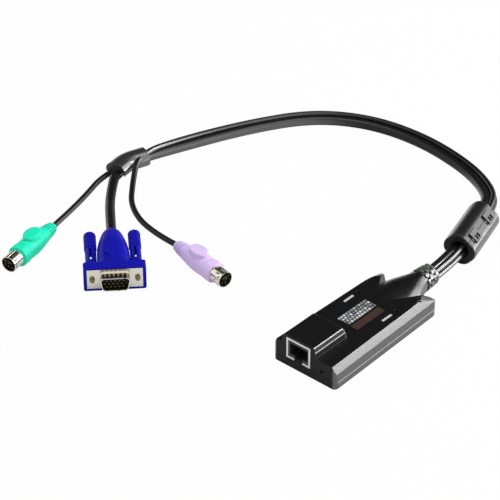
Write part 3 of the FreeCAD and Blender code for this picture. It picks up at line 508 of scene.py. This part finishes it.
# ---------------------------------------------------------------- jack
# A tin-plated shield round a black insert with eight gold-plated contacts. The inserts of all
# three plugs are the same black plastic.
coat(plated("tin_plate", (0.85, 0.85, 0.83), 0.3, bare=0.75), "jack_shield")
coat(moulded("jack_black", (0.02, 0.02, 0.022), 0.4), "jack_insert", "video_plug_insulator",
     "mouse_plug_insert", "keyboard_plug_insert")
coat(plated("gold_plate", (0.75, 0.58, 0.25), 0.25), "jack_contacts")

# ---------------------------------------------------------------- strain relief
# A ribbed rubber relief, a shade greyer than the cables, grips all three of them where they
# leave the neck.
coat(moulded("relief_rubber", (0.1, 0.115, 0.1), 0.4, edge=0.0002, polish=(0.3, 0.85)),
     "cable_grommet")

# ---------------------------------------------------------------- ferrite
# A clip-on ferrite: two halves of a satin black plastic case round two halves of a grey
# ceramic core.
coat(moulded("ferrite_plastic", (0.014, 0.014, 0.015), 0.36, size=0.0008, depth=0.12,
             patches=0.06, edge=0.0001, polish=(0.3, 0.85), Specular_IOR_Level=0.2),
     "ferrite_case_upper", "ferrite_case_lower")
coat(moulded("ferrite_ceramic", (0.06, 0.06, 0.065), 0.6),
     "ferrite_core_upper", "ferrite_core_lower")

# ---------------------------------------------------------------- split sleeve
# A moulded black rubber sleeve holds the three cables where they part. Its long sides shine
# a little.
coat(moulded("sleeve_rubber", (0.03, 0.03, 0.032), 0.32, depth=0.12, edge=0.0004,
             polish=(0.1, 0.6), Specular_IOR_Level=0.4), "split_sleeve")

# ---------------------------------------------------------------- video plug
# A blue moulded hood with two blue thumbscrews on brass shafts. The drawn shell stands out of
# a cream-coloured flange and is browner, with a row of earthing dimples across it, painted dark
# as shade in the dents, and a bright rolled rim.
PLUG_FRONT = (-0.12775, -0.0586, 0.0074)    # the middle of the flange's face
PLUG_TURN = math.radians(46.6)              # the plug looks along its own minus Y
BODY_START = -1.0           # the shell's brown body, in millimetres from the flange
BODY_END = -5.2             # and the start of its bright rim
DIMPLE_TURNS = 2.6          # radians of the dimples' wave for each millimetre across
DIMPLE_LEVEL = -0.1         # a dimple is where the wave is above this
SHELL_BROWN = (0.4, 0.3, 0.22, 1)
DIMPLE_SHADE = (0.05, 0.025, 0.02, 1)
coat(moulded("hood_blue", (0.006, 0.006, 0.4), 0.36, depth=0.1, edge=0.0004,
             Specular_IOR_Level=0.1), "video_plug_hood", "thumbscrew_left", "thumbscrew_right")
coat(plated("screw_brass", (0.3, 0.26, 0.12), 0.35, stain=(0.05, 0.04, 0.02), bare=0.5,
            patch=0.001), "thumbscrew_shaft_left", "thumbscrew_shaft_right")
# The plugs' contact pins are painted a dark brass, as painted shade for their place deep in the
# plug fronts.
coat(plated("pin_brass_painted_shade", (0.16, 0.13, 0.06), 0.4),
     "video_plug_pins", "mouse_plug_pins", "keyboard_plug_pins")
shell_tin = plated("shell_tin", (0.82, 0.8, 0.7), 0.28, stain=(0.2, 0.16, 0.09), bare=0.62,
                   patch=0.003)
tree = shell_tin.node_tree
skin = tree.nodes["Principled BSDF"].inputs
along_plug = tree.nodes.new("ShaderNodeMapping")
along_plug.vector_type = "TEXTURE"
along_plug.inputs["Location"].default_value = PLUG_FRONT
along_plug.inputs["Rotation"].default_value = (0, 0, PLUG_TURN)
along_plug.inputs["Scale"].default_value = (1 / MM_PER_M,) * 3
tree.links.new(tree.nodes.new("ShaderNodeTexCoord").outputs["Object"],
               along_plug.inputs["Vector"])
across, along, _ = split_axes(tree, along_plug.outputs["Vector"])
body = math_node(tree, "MULTIPLY", math_node(tree, "LESS_THAN", along, BODY_START),
                 math_node(tree, "GREATER_THAN", along, BODY_END))
wave = math_node(tree, "SINE", math_node(tree, "MULTIPLY", across, DIMPLE_TURNS))
in_dimple = math_node(tree, "GREATER_THAN", wave, DIMPLE_LEVEL)
# Painted shade: the dimples are painted dark brown, as the shade that falls in the dents.
dimple_shade = math_node(tree, "MULTIPLY", body, in_dimple)
browned = painted(tree, body, skin["Base Color"].links[0].from_socket, SHELL_BROWN)
tree.links.new(painted(tree, dimple_shade, browned, DIMPLE_SHADE), skin["Base Color"])
coat(shell_tin, "video_plug_shell")

# ---------------------------------------------------------------- mini-DIN plugs
# A green moulded hood on the mouse plug and a purple one on the keyboard plug, each with a
# round tin-plated shell.
coat(moulded("hood_green", (0.006, 0.9, 0.56), 0.4, depth=0.1, edge=0.0004,
             Specular_IOR_Level=0.3), "mouse_plug_hood")
coat(moulded("hood_purple", (0.8, 0.62, 1.0), 0.4, depth=0.1, edge=0.0004,
             Specular_IOR_Level=0.3), "keyboard_plug_hood")
coat(plated("din_tin", (0.85, 0.82, 0.72), 0.2, stain=(0.12, 0.07, 0.05), bare=0.55,
            patch=0.0022), "mouse_plug_shell", "keyboard_plug_shell")

# ---------------------------------------------------------------- room
# A white surround and floor, a broad soft lamp above, a long low one at the right rear and a
# small one above that. The surround looks white and lights the object less than it shows.
WHITE = (1, 1, 1, 1)
SURROUND_SEEN = 1.0
SURROUND_LIGHT = 0.45
FLOOR_HALF = 6
FLOOR_HEIGHT = -0.0002
FLOOR_PAINT = (0.85, 0.85, 0.85, 1)
FLOOR_GLOW = 0.97           # the camera sees this share of plain white, the rest is lit paint


def empty_tree(owner):
    """The node tree of a world or a material, with nothing in it."""
    owner.use_nodes = True
    owner.node_tree.nodes.clear()
    return owner.node_tree


def mix_shaders(tree, share, first, second, end):
    """Mixes two shaders by a share and sends the result to the tree's end node."""
    node = tree.nodes.new("ShaderNodeMixShader")
    for socket, output in zip(node.inputs, (share, first, second)):
        tree.links.new(output, socket)
    tree.links.new(node.outputs[0], tree.nodes.new(end).inputs[0])


world = bpy.data.worlds.new("studio")
scene.world = world
sky = empty_tree(world)
shades = []
for strength in (SURROUND_LIGHT, SURROUND_SEEN):
    shade = sky.nodes.new("ShaderNodeBackground")
    shade.inputs["Color"].default_value = WHITE
    shade.inputs["Strength"].default_value = strength
    shades.append(shade.outputs[0])
rays = sky.nodes.new("ShaderNodeLightPath").outputs
mirrored = math_node(sky, "MAXIMUM", rays["Is Camera Ray"], rays["Is Glossy Ray"])
seen = math_node(sky, "MAXIMUM", mirrored, rays["Is Transmission Ray"])
mix_shaders(sky, seen, *shades, "ShaderNodeOutputWorld")


def flat_sheet(name, width, height, z=0.0):
    """A flat rectangle round its own middle."""
    mesh = bpy.data.meshes.new(name)
    mesh.from_pydata([(x * width / 2, y * height / 2, z)
                      for x, y in ((-1, -1), (1, -1), (1, 1), (-1, 1))], [], [(0, 1, 2, 3)])
    return add_object(name, mesh)


floor = flat_sheet("floor", 2 * FLOOR_HALF, 2 * FLOOR_HALF, FLOOR_HEIGHT)
floor_paint = bpy.data.materials.new("floor_paint")
tree = empty_tree(floor_paint)
paint = tree.nodes.new("ShaderNodeBsdfDiffuse")
paint.inputs["Color"].default_value = FLOOR_PAINT
glow = tree.nodes.new("ShaderNodeEmission")
rays = tree.nodes.new("ShaderNodeLightPath").outputs
mix_shaders(tree, math_node(tree, "MULTIPLY", rays["Is Camera Ray"], FLOOR_GLOW),
            paint.outputs[0], glow.outputs[0], "ShaderNodeOutputMaterial")
floor.data.materials.append(floor_paint)


def lamp(name, place, target, width, height, watts):
    """A rectangular lamp that faces its target."""
    data = bpy.data.lights.new(name, "AREA")
    data.shape = "RECTANGLE"
    data.size = width
    data.size_y = height
    data.energy = watts
    light = add_object(name, data)
    light.location = place
    light.rotation_euler = (Vector(target) - Vector(place)).to_track_quat("-Z", "Y").to_euler()


lamp("overhead", (-0.2, 0.1, 1.4), (-0.08, 0.03, 0), 1.0, 0.9, 8)
lamp("right_rear", (0.85, 0.68, 0.12), (-0.02, 0.02, 0.01), 1.2, 0.24, 9)
lamp("kicker", (0.55, 0.75, 0.8), (-0.02, 0.02, 0.01), 0.16, 0.16, 3)


def card(name, place, width, height, glow):
    """A flat card for reflections only: it shows in gloss and metal, and casts no light."""
    sheet = flat_sheet(name, width, height)
    sheet.location = place
    sheet.rotation_euler = (-Vector(place)).to_track_quat("Z", "Y").to_euler()
    paint = bpy.data.materials.new(name + "_paint")
    tree = empty_tree(paint)
    light = tree.nodes.new("ShaderNodeEmission")
    light.inputs["Strength"].default_value = glow
    tree.links.new(light.outputs[0], tree.nodes.new("ShaderNodeOutputMaterial").inputs[0])
    sheet.data.materials.append(paint)
    sheet.visible_camera = False
    sheet.visible_diffuse = False
    sheet.visible_shadow = False


# A black card at the left rear keeps the flat tops dark where they mirror that side, and a
# bright one at the right rear lights the long sides, the neck and the ferrite.
card("black_card", (-0.75, 0.85, 0.8), 2.0, 1.5, 0.0)
card("bright_card", (0.72, 0.82, 0.5), 1.3, 0.9, 3.0)
